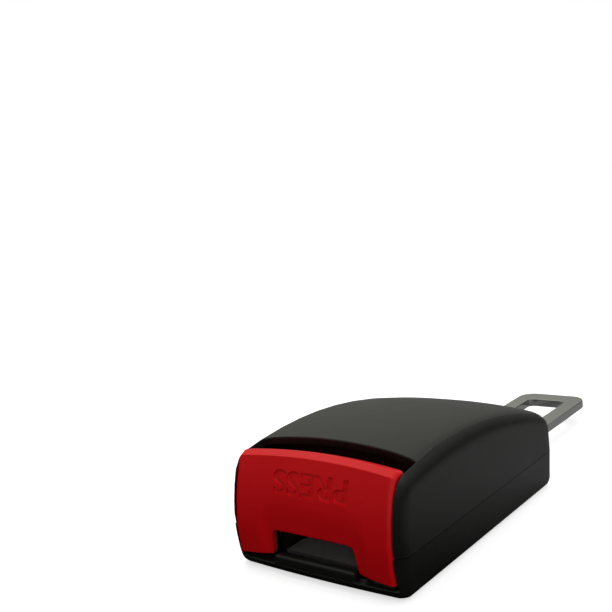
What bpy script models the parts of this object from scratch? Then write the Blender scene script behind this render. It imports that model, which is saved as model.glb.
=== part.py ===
"""Seat belt extender: a short buckle with a steel tongue of its own, lying on its flat underside.

+X across, +Y from the button to the tongue's tip, +Z up. The origin is at the middle of the underside.
"""

import math

import bmesh
import bpy
from mathutils import Matrix, Vector

MM = 0.001

# Whole object
TOTAL_LENGTH = 128.0 * MM
BODY_LENGTH = 73.0 * MM
BODY_WIDTH = 46.4 * MM
BODY_HEIGHT = 29.0 * MM
GAP = 0.3 * MM

# Outer form of the housing
FRONT_BOW = 1.2 * MM
FRONT_RADIUS = 36.0 * MM
NOSE_HEIGHT = 9.0 * MM
FRONT_EDGE_HEIGHT = 27.2 * MM
ROOF_RADIUS = 120.0 * MM
ROOF_PEAK = 26.5 * MM
ROOF_CROWN = 1.6 * MM
ROOF_SHOULDER = 0.8 * MM
EDGE_RADIUS = 3.0 * MM
FOOT_SHARE = 0.8
SHARP = math.radians(30.0)
WALL = 2.2 * MM
PARTING_HEIGHT = 9.5 * MM
FORM_STATIONS = (0.0, 0.27, 0.52, 0.70, 0.84, 1.0)
FRONT_STEPS = 5
ROOF_STEPS = 11

# Opening that the button stands in
ROOF_EDGE_MIDDLE = 14.2 * MM
ROOF_EDGE_SIDE = 11.4 * MM
RIM_HEIGHT = 2.4 * MM

# Button
BUTTON_WIDTH = 42.4 * MM
BUTTON_WALL = 1.8 * MM
BUTTON_TRAVEL = 3.0 * MM
FACE_TOP = 25.8 * MM
FACE_TOP_RISE = 1.0 * MM
STRIP_HEIGHT = 0.6 * MM
STRIP_DEPTH = 1.3 * MM
STRIP_DEPTH_RISE = 1.2 * MM
TOP_FALL = 0.2 * MM
BUTTON_DEPTH = 7.2 * MM
BUTTON_DEPTH_RISE = 3.2 * MM
LEG_BOTTOM = 3.5 * MM
LEG_RISE = 1.8 * MM
FACE_STEPS = 6
MOUTH_WIDTH = 22.4 * MM
MOUTH_TOP = 10.1 * MM
MOUTH_CORNER = 1.6 * MM
ARM_THICKNESS = 2.4 * MM
ARM_HEIGHT = 3.6 * MM

# Tongue blade
BLADE_WIDTH = 20.8 * MM
BLADE_THICKNESS = 2.4 * MM
BLADE_CORNER = 4.5 * MM
WINDOW_WIDTH = 11.6 * MM
WINDOW_LENGTH = 23.2 * MM
WINDOW_CORNER = 1.6 * MM
WINDOW_FROM_TIP = 6.2 * MM
BLADE_INSERT = 19.5 * MM

# Steel frame
SHEET = 1.6 * MM
FRAME_FLOOR = 2.5 * MM
PASSAGE_WIDTH = 22.8 * MM
FRAME_WALL_TOP = 15.5 * MM
FRAME_WALL_FRONT = 14.2 * MM
FRAME_TAB_FRONT = 5.0 * MM
FRAME_TAB_WIDTH = 21.2 * MM
RIVET_SPACING = 10.0 * MM
RIVET_FROM_BLADE_END = 8.0 * MM
RIVET_RADIUS = 2.2 * MM
RIVET_HEAD_RADIUS = 3.6 * MM
RIVET_HEAD = 1.0 * MM

# Latch
PIVOT_DEPTH = 50.5 * MM
PIVOT_HEIGHT = 12.0 * MM
PIN_RADIUS = 1.2 * MM
LATCH_LIFT = math.radians(11.0)
RELEASE_ARM = 8.0 * MM
TOOTH_REACH = 29.5 * MM
TOOTH_WIDTH = 8.8 * MM
TOOTH_BOTTOM = 3.6 * MM
EAR_RADIUS = 2.6 * MM
WEB_TAIL = 2.2 * MM
NECK_LOW = 0.5 * MM
CLIP_RADIUS = 2.4 * MM
CLIP_THICKNESS = 0.6 * MM
PIN_HEAD = 0.9 * MM

# Ejector
EJECTOR_HEIGHT = 3.2 * MM
EJECTOR_FRONT = 17.0 * MM
EJECTOR_BACK = 33.0 * MM
EJECTOR_TRAVEL = 12.0 * MM
EJECTOR_POST = 6.0 * MM

# Springs
BUTTON_SPRING_WIDTH = 4.2 * MM
BUTTON_SPRING_WIRE = 0.5 * MM
BUTTON_SPRING_TURNS = 7
SPRING_RIB = 22.0 * MM
LATCH_SPRING_WIDTH = 5.0 * MM
LATCH_SPRING_WIRE = 0.5 * MM
LATCH_SPRING_TURNS = 5
LATCH_SPRING_REACH = 24.0 * MM
EJECTOR_SPRING_WIDTH = 3.2 * MM
EJECTOR_SPRING_WIRE = 0.45 * MM
EJECTOR_SPRING_TURNS = 9
SPRING_STEPS = 10

# Lip under the mouth
LIP_WIDTH = 21.8 * MM
LIP_TOP = 4.6 * MM
LIP_FRONT = 0.5 * MM
LIP_DEPTH = 2.4 * MM
LIP_GROOVE = 0.4 * MM
LIP_EDGE = 0.7 * MM

# Pegs that join the covers
PEG_RADIUS = 1.6 * MM
PEG_SHOULDER = 2.8 * MM
PEG_SPACING = 37.0 * MM
PEG_FRONT = 53.0 * MM
PEG_PITCH = 13.0 * MM
PEG_HEIGHT = 3.0 * MM
STUD_LENGTH = 3.0 * MM
BAFFLE_DEPTH = 15.8 * MM
BAFFLE_BOTTOM = 17.0 * MM
RIB_THICKNESS = 1.8 * MM
STOP_SETBACK = 5.0 * MM
THROAT_FRONT = 6.2 * MM
THROAT_BACK = 13.8 * MM
THROAT_TOP = 9.2 * MM

# Places worked out from the sizes above
FRONT = -TOTAL_LENGTH / 2
TIP = TOTAL_LENGTH / 2
BACK = FRONT + BODY_LENGTH
HALF_BODY = BODY_WIDTH / 2
HALF_BUTTON = BUTTON_WIDTH / 2
HALF_MOUTH = MOUTH_WIDTH / 2
HALF_PASSAGE = PASSAGE_WIDTH / 2
FAR = 2 * TOTAL_LENGTH
POCKET_HALF = HALF_BUTTON + GAP
FRAME_TOP = FRAME_FLOOR + SHEET
BLADE_BOTTOM = FRAME_TOP + GAP
BLADE_TOP = BLADE_BOTTOM + BLADE_THICKNESS
FRAME_HALF = HALF_PASSAGE + SHEET
PIVOT = Vector((0, FRONT + PIVOT_DEPTH, PIVOT_HEIGHT))
RELEASE = Vector((0, PIVOT.y - RELEASE_ARM, PIVOT_HEIGHT))
BLADE_INNER_END = BACK - BLADE_INSERT
RIVET_Y = BLADE_INNER_END + RIVET_FROM_BLADE_END
SPRING_X = FRAME_HALF + GAP + BUTTON_SPRING_WIDTH / 2 + GAP
SPRING_Z = FRAME_TOP + BUTTON_SPRING_WIDTH / 2
ARM_INNER = SPRING_X - ARM_THICKNESS / 2

BLACK = ("black_abs", (0.055, 0.058, 0.054), 0.42, 0.0)
RED = ("red_abs", (0.33, 0.008, 0.012), 0.30, 0.0)
BRIGHT_STEEL = ("nickel_plated_steel", (0.55, 0.56, 0.54), 0.25, 1.0)
SHEET_STEEL = ("zinc_plated_steel", (0.50, 0.51, 0.52), 0.38, 1.0)
SPRING_STEEL = ("spring_steel", (0.42, 0.42, 0.43), 0.30, 1.0)
BLACK_ACETAL = ("black_acetal", (0.030, 0.030, 0.030), 0.40, 0.0)


def material(finish):
    """Gives the Principled material of one finish, made once."""
    name, colour, roughness, metallic = finish
    found = bpy.data.materials.get(name)
    if found:
        return found
    made = bpy.data.materials.new(name)
    made.use_nodes = True
    shader = made.node_tree.nodes["Principled BSDF"]
    shader.inputs["Base Color"].default_value = (*colour, 1.0)
    shader.inputs["Roughness"].default_value = roughness
    shader.inputs["Metallic"].default_value = metallic
    made.diffuse_color = (*colour, 1.0)
    return made


def from_bmesh(name, shape):
    """Makes an object of a bmesh, with its faces pointing out."""
    bmesh.ops.recalc_face_normals(shape, faces=shape.faces)
    mesh = bpy.data.meshes.new(name)
    shape.to_mesh(mesh)
    shape.free()
    made = bpy.data.objects.new(name, mesh)
    bpy.context.scene.collection.objects.link(made)
    return made


def loft(name, stations, section):
    """Joins the outline that section(x) gives at each station across the object into one closed solid."""
    shape = bmesh.new()
    rings = []
    for x in stations:
        rings.append([shape.verts.new((x, y, z)) for y, z in section(x)])
    for near, far in zip(rings, rings[1:]):
        count = len(near)
        for i in range(count):
            shape.faces.new((near[i], near[(i + 1) % count], far[(i + 1) % count], far[i]))
    shape.faces.new(rings[0])
    shape.faces.new(rings[-1])
    return from_bmesh(name, shape)


def block(name, low, high):
    """Makes a box from its lowest and highest corners."""
    shape = bmesh.new()
    bmesh.ops.create_cube(shape, size=1.0)
    size = Vector(high) - Vector(low)
    middle = (Vector(high) + Vector(low)) / 2
    bmesh.ops.scale(shape, vec=size, verts=shape.verts)
    bmesh.ops.translate(shape, vec=middle, verts=shape.verts)
    return from_bmesh(name, shape)


def rod(name, start, end, radius, sides=20):
    """Makes a round bar between two points."""
    start = Vector(start)
    end = Vector(end)
    turn = (end - start).to_track_quat("Z", "Y").to_matrix().to_4x4()
    place = Matrix.Translation((start + end) / 2) @ turn
    shape = bmesh.new()
    depth = (end - start).length
    bmesh.ops.create_cone(
        shape, cap_ends=True, segments=sides, radius1=radius, radius2=radius, depth=depth, matrix=place
    )
    return from_bmesh(name, shape)


def cross_bore(place):
    """Makes the cutter for a pin's hole that runs across the object."""
    return rod("bore", (-FAR, place.y, place.z), (FAR, place.y, place.z), PIN_RADIUS + GAP / 2, sides=16)


def prism(name, outline, low, high):
    """Extrudes a plan outline of (x, y) points from one height to another."""
    shape = bmesh.new()
    base = shape.faces.new([shape.verts.new((x, y, low)) for x, y in outline])
    raised = bmesh.ops.extrude_face_region(shape, geom=[base])["geom"]
    corners = [v for v in raised if isinstance(v, bmesh.types.BMVert)]
    bmesh.ops.translate(shape, vec=(0, 0, high - low), verts=corners)
    return from_bmesh(name, shape)


def rounded_plan(half_width, near, far, near_radius, far_radius, steps=5):
    """Gives a plan outline: a rectangle with one radius at its near corners and one at its far corners."""
    points = []
    corners = (
        (half_width - near_radius, near + near_radius, near_radius, -90),
        (half_width - far_radius, far - far_radius, far_radius, 0),
        (far_radius - half_width, far - far_radius, far_radius, 90),
        (near_radius - half_width, near + near_radius, near_radius, 180),
    )
    for x, y, radius, start in corners:
        if radius <= 0:
            points.append((x, y))
            continue
        for i in range(steps + 1):
            angle = math.radians(start + 90 * i / steps)
            points.append((x + radius * math.cos(angle), y + radius * math.sin(angle)))
    return points


def bake(target):
    """Replaces an object's mesh by what its modifiers give."""
    graph = bpy.context.evaluated_depsgraph_get()
    graph.update()
    mesh = bpy.data.meshes.new_from_object(target.evaluated_get(graph))
    target.modifiers.clear()
    target.data = mesh


def combine(target, operation, *tools):
    """Cuts or joins a target with each tool, and removes the tools."""
    for tool in tools:
        change = target.modifiers.new("combine", "BOOLEAN")
        change.operation = operation
        change.solver = "EXACT"
        change.object = tool
        bake(target)
        bpy.data.objects.remove(tool)
    return target


def soften(target, radius, segments=3, share_at=None):
    """Rounds the sharp edges; share_at(height) may give low or high edges a smaller share of the radius."""
    change = target.modifiers.new("soften", "BEVEL")
    change.width = radius
    change.segments = segments
    change.limit_method = "ANGLE"
    change.angle_limit = SHARP
    if share_at:
        shape = bmesh.new()
        shape.from_mesh(target.data)
        weight = shape.edges.layers.float.new("bevel_weight_edge")
        for edge in shape.edges:
            if edge.calc_face_angle(0) > SHARP:
                edge[weight] = share_at(max(v.co.z for v in edge.verts))
        shape.to_mesh(target.data)
        shape.free()
        change.limit_method = "WEIGHT"
    bake(target)
    return target


def finish(target, look, origin=None):
    """Gives a piece its material and shading, and moves its origin onto its joint's axis."""
    target.data.materials.clear()
    target.data.materials.append(material(look))
    if origin is not None:
        target.data.transform(Matrix.Translation(-Vector(origin)))
        target.location = origin
    target.data.shade_smooth()
    target.data.set_sharp_from_angle(angle=SHARP)
    return target


def spread(half, parts):
    """Gives evenly spaced stations across the object."""
    return [half * (2 * i / parts - 1) for i in range(parts + 1)]


def front_at(x, z):
    """Gives how far forward the housing's bulging front lies at a place across it and a height."""
    bow = FRONT_BOW * (x / HALF_BODY) ** 2
    return FRONT + bow + (z - NOSE_HEIGHT) ** 2 / (2 * FRONT_RADIUS)


def roof_at(x, y):
    """Gives the height of the arched roof."""
    across = x / HALF_BODY
    crown = ROOF_CROWN * across**2 + ROOF_SHOULDER * across**8
    return BODY_HEIGHT - crown - (y - FRONT - ROOF_PEAK) ** 2 / (2 * ROOF_RADIUS)


def face_top(x):
    """Gives the height of the button's front face at its top, where the strip starts."""
    return FACE_TOP + FACE_TOP_RISE * (1 - (x / HALF_BUTTON) ** 2)


def housing_form(name, inset):
    """Makes the housing's outer form, drawn in all round by an inset."""

    def section(x):
        points = []
        for i in range(FRONT_STEPS + 1):
            z = inset + (FRONT_EDGE_HEIGHT - 2 * inset) * i / (FRONT_STEPS + 1)
            points.append((front_at(x, z) + inset, z))
        first = front_at(x, FRONT_EDGE_HEIGHT) + inset
        last = BACK - inset
        for i in range(ROOF_STEPS + 1):
            y = first + (last - first) * i / ROOF_STEPS
            points.append((y, roof_at(x, y) - inset))
        points.append((last, inset))
        return points

    half = HALF_BODY - inset
    stations = [-half * s for s in reversed(FORM_STATIONS[1:])] + [half * s for s in FORM_STATIONS]
    form = loft(name, stations, section)
    radius = max(EDGE_RADIUS - inset, EDGE_RADIUS / 4)
    segments = 4 if inset == 0 else 2
    return soften(form, radius, segments, lambda z: 1.0 if z > inset + GAP else FOOT_SHARE)


def button_opening():
    """Makes the cutter for the button's room, open at the front and, up to a curved edge, above."""

    def section(x):
        share = 1 - (x / POCKET_HALF) ** 2
        edge = FRONT + ROOF_EDGE_SIDE + (ROOF_EDGE_MIDDLE - ROOF_EDGE_SIDE) * share
        return [(-FAR, RIM_HEIGHT), (edge, RIM_HEIGHT), (edge, FAR), (-FAR, FAR)]

    return loft("opening", spread(POCKET_HALF, 12), section)


def peg_places():
    """Gives where the pegs that join the two covers stand."""
    rows = (FRONT + PEG_FRONT, FRONT + PEG_FRONT + PEG_PITCH)
    return [(side * PEG_SPACING / 2, y) for side in (-1, 1) for y in rows]


def make_upper_cover():
    hollow = housing_form("hollow", WALL)
    for x, y in peg_places():
        socket = rod("socket", (x, y, PARTING_HEIGHT + GAP), (x, y, FAR), PEG_SHOULDER)
        top = PARTING_HEIGHT + PEG_HEIGHT + 2 * GAP
        hole = rod("hole", (x, y, 0), (x, y, top), PEG_RADIUS + GAP, sides=12)
        combine(socket, "DIFFERENCE", hole)
        combine(hollow, "DIFFERENCE", socket)
    y = PIVOT.y - LATCH_SPRING_REACH
    radius = LATCH_SPRING_WIDTH / 2 - LATCH_SPRING_WIRE - GAP
    stud = rod("stud", (0, y, roof_at(0, y) - WALL - STUD_LENGTH), (0, y, FAR), radius, sides=12)
    near = FRONT + BAFFLE_DEPTH
    baffle = block("baffle", (-FAR, near, BAFFLE_BOTTOM), (FAR, near + RIB_THICKNESS, FAR))
    combine(hollow, "DIFFERENCE", stud, baffle)
    cover = housing_form("upper_cover", 0)
    below = block("below", (-FAR, -FAR, -FAR), (FAR, FAR, PARTING_HEIGHT + GAP / 2))
    combine(cover, "DIFFERENCE", hollow, button_opening(), below)
    return finish(cover, BLACK)


def make_lower_cover():
    hollow = housing_form("hollow", WALL)
    rib_top = PARTING_HEIGHT - 2 * GAP
    near = FRONT + SPRING_RIB
    for side in (-1, 1):
        inner = side * (FRAME_HALF + GAP)
        xs = sorted((inner, side * FAR))
        rib = block("rib", (xs[0], near, -FAR), (xs[1], near + RIB_THICKNESS, rib_top))
        fence = sorted((inner, inner + side * RIB_THICKNESS))
        stop = block("stop", (fence[0], near + STOP_SETBACK, -FAR), (fence[1], PIVOT.y, FRAME_TOP))
        throat_xs = sorted((side * (HALF_PASSAGE + GAP), side * FRAME_HALF))
        throat_back = FRONT + THROAT_BACK
        throat = block(
            "throat", (throat_xs[0], FRONT + THROAT_FRONT, -FAR), (throat_xs[1], throat_back, THROAT_TOP)
        )
        combine(hollow, "DIFFERENCE", rib, stop, throat)
    for x, y in peg_places():
        combine(hollow, "DIFFERENCE", rod("shoulder", (x, y, -FAR), (x, y, rib_top), PEG_SHOULDER))
    for side in (-1, 1):
        x = side * RIVET_SPACING / 2
        low = FRAME_FLOOR - 2 * GAP - RIVET_HEAD
        relief = rod("relief", (x, RIVET_Y, low), (x, RIVET_Y, FRAME_FLOOR), RIVET_HEAD_RADIUS + GAP)
        combine(hollow, "UNION", relief)
    cover = housing_form("lower_cover", 0)
    above = block("above", (-FAR, -FAR, PARTING_HEIGHT - GAP / 2), (FAR, FAR, FAR))
    half = BLADE_WIDTH / 2 + GAP
    slot = block("slot", (-half, BACK - 2 * WALL, BLADE_BOTTOM - GAP), (half, FAR, BLADE_TOP + GAP))
    combine(cover, "DIFFERENCE", hollow, button_opening(), above, slot)
    for x, y in peg_places():
        peg = rod("peg", (x, y, WALL), (x, y, PARTING_HEIGHT + PEG_HEIGHT), PEG_RADIUS, sides=12)
        combine(cover, "UNION", peg)
    lip_half = LIP_WIDTH / 2
    lip_front = FRONT + LIP_FRONT
    lip = block("lip", (-lip_half, lip_front, WALL / 2), (lip_half, lip_front + LIP_DEPTH, LIP_TOP))
    soften(lip, LIP_EDGE, segments=3)
    groove_top = RIM_HEIGHT + LIP_GROOVE / 2
    groove = block("groove", (-FAR, -FAR, groove_top - LIP_GROOVE), (FAR, lip_front + LIP_GROOVE, groove_top))
    combine(lip, "DIFFERENCE", groove)
    combine(cover, "UNION", lip)
    return finish(cover, BLACK)


def make_press_button():
    """The button is one moulding: a bowed face with two legs, a short top and two long arms."""

    def outer(x):
        share = 1 - (x / HALF_BUTTON) ** 2
        low = LEG_BOTTOM + LEG_RISE * (1 - abs(x) / HALF_BUTTON)
        high = face_top(x)
        points = []
        for i in range(FACE_STEPS + 1):
            z = low + (high - low) * i / FACE_STEPS
            points.append((front_at(x, z), z))
        strip = front_at(x, high) + STRIP_DEPTH + STRIP_DEPTH_RISE * share
        back = FRONT + BUTTON_DEPTH + BUTTON_DEPTH_RISE * share
        top = high + STRIP_HEIGHT
        return points + [(strip, top), (back, top - TOP_FALL), (back, low)]

    def inner(x):
        top = face_top(x) - BUTTON_WALL
        points = [(front_at(x, 0) + BUTTON_WALL, 0)]
        for i in range(1, FACE_STEPS + 1):
            z = top * i / FACE_STEPS
            points.append((front_at(x, z) + BUTTON_WALL, z))
        return points + [(FRONT + FAR, top), (FRONT + FAR, 0)]

    def mouth(x):
        drop = max(0.0, abs(x) - (HALF_MOUTH - MOUTH_CORNER))
        top = MOUTH_TOP - MOUTH_CORNER + math.sqrt(max(0.0, MOUTH_CORNER**2 - drop**2))
        return [(-FAR, -FAR), (-FAR, top), (FAR, top), (FAR, -FAR)]

    turns = [math.radians(a) for a in (90, 70, 50, 25, 0)]
    corner = [HALF_MOUTH - MOUTH_CORNER * (1 - math.sin(a)) for a in turns]
    button = loft("press_button", spread(HALF_BUTTON, 12), outer)
    hollow = loft("hollow", spread(HALF_BUTTON - BUTTON_WALL, 8), inner)
    opening = loft("mouth", [-x for x in corner] + [0] + corner[::-1], mouth)
    combine(button, "DIFFERENCE", hollow, opening)
    arm_end = RELEASE.y + PIN_RADIUS + GAP + BUTTON_WALL
    for side in (-1, 1):
        xs = sorted((side * ARM_INNER, side * (ARM_INNER + ARM_THICKNESS)))
        start = front_at(SPRING_X, NOSE_HEIGHT) + BUTTON_WALL / 2
        low = RELEASE.z - ARM_HEIGHT / 2
        arm = block("arm", (xs[0], start, low), (xs[1], arm_end, low + ARM_HEIGHT))
        combine(button, "UNION", arm)
    combine(button, "DIFFERENCE", cross_bore(RELEASE))
    return finish(button, RED, (0, FRONT, 0))


def make_tongue_blade():
    outline = rounded_plan(BLADE_WIDTH / 2, BLADE_INNER_END, TIP, 1.0 * MM, BLADE_CORNER)
    blade = prism("tongue_blade", outline, BLADE_BOTTOM, BLADE_TOP)
    window_far = TIP - WINDOW_FROM_TIP
    window_near = window_far - WINDOW_LENGTH
    window = rounded_plan(WINDOW_WIDTH / 2, window_near, window_far, WINDOW_CORNER, WINDOW_CORNER)
    combine(blade, "DIFFERENCE", prism("window", window, 0, FAR))
    for side in (-1, 1):
        x = side * RIVET_SPACING / 2
        hole = rod("hole", (x, RIVET_Y, 0), (x, RIVET_Y, BODY_HEIGHT), RIVET_RADIUS + GAP / 2)
        combine(blade, "DIFFERENCE", hole)
    return finish(blade, BRIGHT_STEEL)


def make_buckle_frame():
    """The frame is one folded sheet: a floor with a tab in the mouth, and two sides."""
    wall_front = FRONT + FRAME_WALL_FRONT
    wall_back = PIVOT.y + EAR_RADIUS + SHEET
    floor_back = BACK - WALL - GAP
    low = (-FRAME_HALF, FRONT + FRAME_TAB_FRONT, FRAME_FLOOR)
    frame = block("buckle_frame", low, (FRAME_HALF, floor_back, FRAME_WALL_TOP))
    soften(frame, SHEET * 0.6)
    inside = block("inside", (-HALF_PASSAGE, -FAR, FRAME_TOP), (HALF_PASSAGE, FAR, FAR))
    combine(frame, "DIFFERENCE", inside)
    for side in (-1, 1):
        xs = sorted((side * FRAME_TAB_WIDTH / 2, side * FAR))
        before = block("before", (xs[0], -FAR, -FAR), (xs[1], wall_front, FAR))
        behind = block("behind", (xs[0], wall_back, -FAR), (xs[1], FAR, FAR))
        combine(frame, "DIFFERENCE", before, behind)
    tooth_y = PIVOT.y - TOOTH_REACH
    half = TOOTH_WIDTH / 2 + 2 * GAP
    window = block("window", (-half, tooth_y - SHEET, 0), (half, tooth_y + 2 * SHEET, FRAME_TOP + GAP))
    reach = PIN_RADIUS + GAP
    slot_end = RELEASE.y + BUTTON_TRAVEL + reach
    slot = block("slot", (-FAR, RELEASE.y - reach, RELEASE.z - reach), (FAR, slot_end, RELEASE.z + reach))
    combine(frame, "DIFFERENCE", window, slot, cross_bore(PIVOT))
    for side in (-1, 1):
        x = side * RIVET_SPACING / 2
        hole = rod("hole", (x, RIVET_Y, 0), (x, RIVET_Y, BODY_HEIGHT), RIVET_RADIUS + GAP / 2)
        combine(frame, "DIFFERENCE", hole)
    return finish(frame, SHEET_STEEL)


def make_rivet(name, side):
    x = side * RIVET_SPACING / 2
    low = FRAME_FLOOR - GAP
    high = BLADE_TOP + GAP
    rivet = rod(name, (x, RIVET_Y, low - RIVET_HEAD / 2), (x, RIVET_Y, high + RIVET_HEAD / 2), RIVET_RADIUS)
    foot = rod("foot", (x, RIVET_Y, low - RIVET_HEAD), (x, RIVET_Y, low), RIVET_HEAD_RADIUS)
    head = rod("head", (x, RIVET_Y, high), (x, RIVET_Y, high + RIVET_HEAD), RIVET_HEAD_RADIUS)
    soften(head, RIVET_HEAD / 2, segments=2)
    combine(rivet, "UNION", foot, head)
    return finish(rivet, BRIGHT_STEEL)


def ramp_height(reach):
    """Gives the height of the latch's underside above its pivot, at a distance in front of it.

    The release pin starts RELEASE_ARM in front of the pivot and moves a BUTTON_TRAVEL back as the latch lifts.
    Seen from the latch, the pin then goes down a straight ramp, which the underside follows at a gap.
    """
    end = RELEASE_ARM - BUTTON_TRAVEL
    fall = end * math.sin(LATCH_LIFT)
    run = RELEASE_ARM - end * math.cos(LATCH_LIFT)
    slope = fall / run
    clear = (PIN_RADIUS + GAP) * math.sqrt(1 + slope**2)
    return clear + slope * (reach - RELEASE_ARM)


def make_latch_plate():
    level = RELEASE_ARM + PIN_RADIUS + GAP
    half = HALF_PASSAGE - GAP

    def web(x):
        nose = SHEET / 2 - TOOTH_REACH
        under = [(-WEB_TAIL, ramp_height(WEB_TAIL)), (-level, ramp_height(level)), (nose, ramp_height(level))]
        over = [(y, z + SHEET) for y, z in reversed(under)]
        return [(PIVOT.y + y, PIVOT.z + z) for y, z in under + over]

    latch = loft("latch_plate", [GAP - half, half - GAP], web)
    tooth_top = PIVOT.z + ramp_height(level) + SHEET / 2
    tooth = block(
        "tooth",
        (-TOOTH_WIDTH / 2, PIVOT.y - TOOTH_REACH, TOOTH_BOTTOM),
        (TOOTH_WIDTH / 2, PIVOT.y - TOOTH_REACH + SHEET, tooth_top),
    )
    combine(latch, "UNION", tooth)
    for side in (-1, 1):
        xs = sorted((side * (half - SHEET), side * half))
        ear = rod("ear", (xs[0], PIVOT.y, PIVOT.z), (xs[1], PIVOT.y, PIVOT.z), EAR_RADIUS, sides=24)
        neck = block(
            "neck",
            (xs[0] + GAP / 2, PIVOT.y - WEB_TAIL - SHEET, PIVOT.z + NECK_LOW),
            (xs[1] - GAP / 2, PIVOT.y, PIVOT.z + EAR_RADIUS - GAP),
        )
        combine(latch, "UNION", ear, neck)
    combine(latch, "DIFFERENCE", cross_bore(PIVOT))
    return finish(latch, SHEET_STEEL, PIVOT)


def make_latch_pin():
    head_inner = -FRAME_HALF - GAP
    end = FRAME_HALF + 3 * GAP + CLIP_THICKNESS
    start = head_inner - PIN_HEAD / 2
    pin = rod("latch_pin", (start, PIVOT.y, PIVOT.z), (end, PIVOT.y, PIVOT.z), PIN_RADIUS)
    head_outer = head_inner - PIN_HEAD
    head = rod("head", (head_outer, PIVOT.y, PIVOT.z), (head_inner, PIVOT.y, PIVOT.z), CLIP_RADIUS)
    combine(pin, "UNION", head)
    return finish(pin, BRIGHT_STEEL)


def make_latch_pin_clip():
    near = FRAME_HALF + GAP
    far = near + CLIP_THICKNESS
    clip = rod("latch_pin_clip", (near, PIVOT.y, PIVOT.z), (far, PIVOT.y, PIVOT.z), CLIP_RADIUS)
    hole = rod("hole", (0, PIVOT.y, PIVOT.z), (FAR, PIVOT.y, PIVOT.z), PIN_RADIUS + GAP / 2)
    mouth = block("mouth", (0, PIVOT.y - PIN_RADIUS / 2, PIVOT.z), (FAR, PIVOT.y + PIN_RADIUS / 2, FAR))
    combine(clip, "DIFFERENCE", hole, mouth)
    return finish(clip, SPRING_STEEL)


def make_release_pin():
    end = ARM_INNER + ARM_THICKNESS
    pin = rod("release_pin", (-end, RELEASE.y, RELEASE.z), (end, RELEASE.y, RELEASE.z), PIN_RADIUS)
    return finish(pin, BRIGHT_STEEL)


def make_ejector():
    """The ejector is a fork that straddles the latch's tooth, with a post for its spring."""
    half = HALF_PASSAGE - GAP
    top = BLADE_BOTTOM + EJECTOR_HEIGHT
    outline = rounded_plan(half, FRONT + EJECTOR_FRONT, FRONT + EJECTOR_BACK, 1.2 * MM, 1.2 * MM, steps=3)
    ejector = prism("ejector", outline, BLADE_BOTTOM, top)
    slot_half = TOOTH_WIDTH / 2 + 2 * GAP
    tooth_back = PIVOT.y - TOOTH_REACH + SHEET
    slot = block("slot", (-slot_half, -FAR, 0), (slot_half, tooth_back + 2 * SHEET, FAR))
    combine(ejector, "DIFFERENCE", slot)
    y = FRONT + EJECTOR_BACK
    z = BLADE_BOTTOM + EJECTOR_SPRING_WIDTH / 2
    radius = EJECTOR_SPRING_WIDTH / 2 - EJECTOR_SPRING_WIRE - GAP
    post = rod("post", (0, y - SHEET, z), (0, y + EJECTOR_POST, z), radius, sides=12)
    combine(ejector, "UNION", post)
    return finish(ejector, BLACK_ACETAL, (0, FRONT + EJECTOR_FRONT, BLADE_BOTTOM))


def make_spring(name, start, end, width, wire, turns):
    """Winds a coil spring between two points: each end turn lies flat, and the turns between climb evenly."""
    start = Vector(start)
    axis = Vector(end) - start
    turn = axis.to_track_quat("Z", "Y").to_matrix()
    radius = (width - wire) / 2
    length = axis.length - wire
    count = SPRING_STEPS * turns
    path = bpy.data.curves.new(name, "CURVE")
    path.dimensions = "3D"
    path.bevel_depth = wire / 2
    path.bevel_resolution = 1
    path.use_fill_caps = True
    line = path.splines.new("POLY")
    line.points.add(count)
    for i in range(count + 1):
        angle = 2 * math.pi * i / SPRING_STEPS
        wound = i / SPRING_STEPS
        climb = wire * min(wound, 1.0) + wire * max(0.0, wound - turns + 1)
        middle = min(max(wound - 1.0, 0.0), turns - 2.0) / (turns - 2.0)
        height = wire / 2 + climb + (length - 2 * wire) * middle
        place = start + turn @ Vector((radius * math.cos(angle), radius * math.sin(angle), height))
        line.points[i].co = (*place, 1.0)
    coil = bpy.data.objects.new(name + "_path", path)
    bpy.context.scene.collection.objects.link(coil)
    graph = bpy.context.evaluated_depsgraph_get()
    mesh = bpy.data.meshes.new_from_object(coil.evaluated_get(graph))
    bpy.data.objects.remove(coil)
    spring = bpy.data.objects.new(name, mesh)
    bpy.context.scene.collection.objects.link(spring)
    shape = bmesh.new()
    shape.from_mesh(mesh)
    bmesh.ops.remove_doubles(shape, verts=shape.verts, dist=wire / 100)
    bmesh.ops.recalc_face_normals(shape, faces=shape.faces)
    shape.to_mesh(mesh)
    shape.free()
    return finish(spring, SPRING_STEEL)


def make_springs():
    back = FRONT + SPRING_RIB - GAP
    reach = SPRING_X + BUTTON_SPRING_WIDTH / 2
    near = front_at(reach, SPRING_Z - BUTTON_SPRING_WIDTH / 2) + BUTTON_WALL + GAP
    for side, name in ((-1, "button_spring_left"), (1, "button_spring_right")):
        start = (side * SPRING_X, near, SPRING_Z)
        end = (side * SPRING_X, back, SPRING_Z)
        make_spring(name, start, end, BUTTON_SPRING_WIDTH, BUTTON_SPRING_WIRE, BUTTON_SPRING_TURNS)
    y = PIVOT.y - LATCH_SPRING_REACH
    low = PIVOT.z + ramp_height(RELEASE_ARM + PIN_RADIUS + GAP) + SHEET + GAP
    high = roof_at(LATCH_SPRING_WIDTH / 2, y) - WALL - 2 * GAP
    make_spring(
        "latch_spring", (0, y, low), (0, y, high), LATCH_SPRING_WIDTH, LATCH_SPRING_WIRE, LATCH_SPRING_TURNS
    )
    z = BLADE_BOTTOM + EJECTOR_SPRING_WIDTH / 2
    make_spring(
        "ejector_spring",
        (0, FRONT + EJECTOR_BACK + GAP, z),
        (0, BLADE_INNER_END - GAP, z),
        EJECTOR_SPRING_WIDTH,
        EJECTOR_SPRING_WIRE,
        EJECTOR_SPRING_TURNS,
    )


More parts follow.
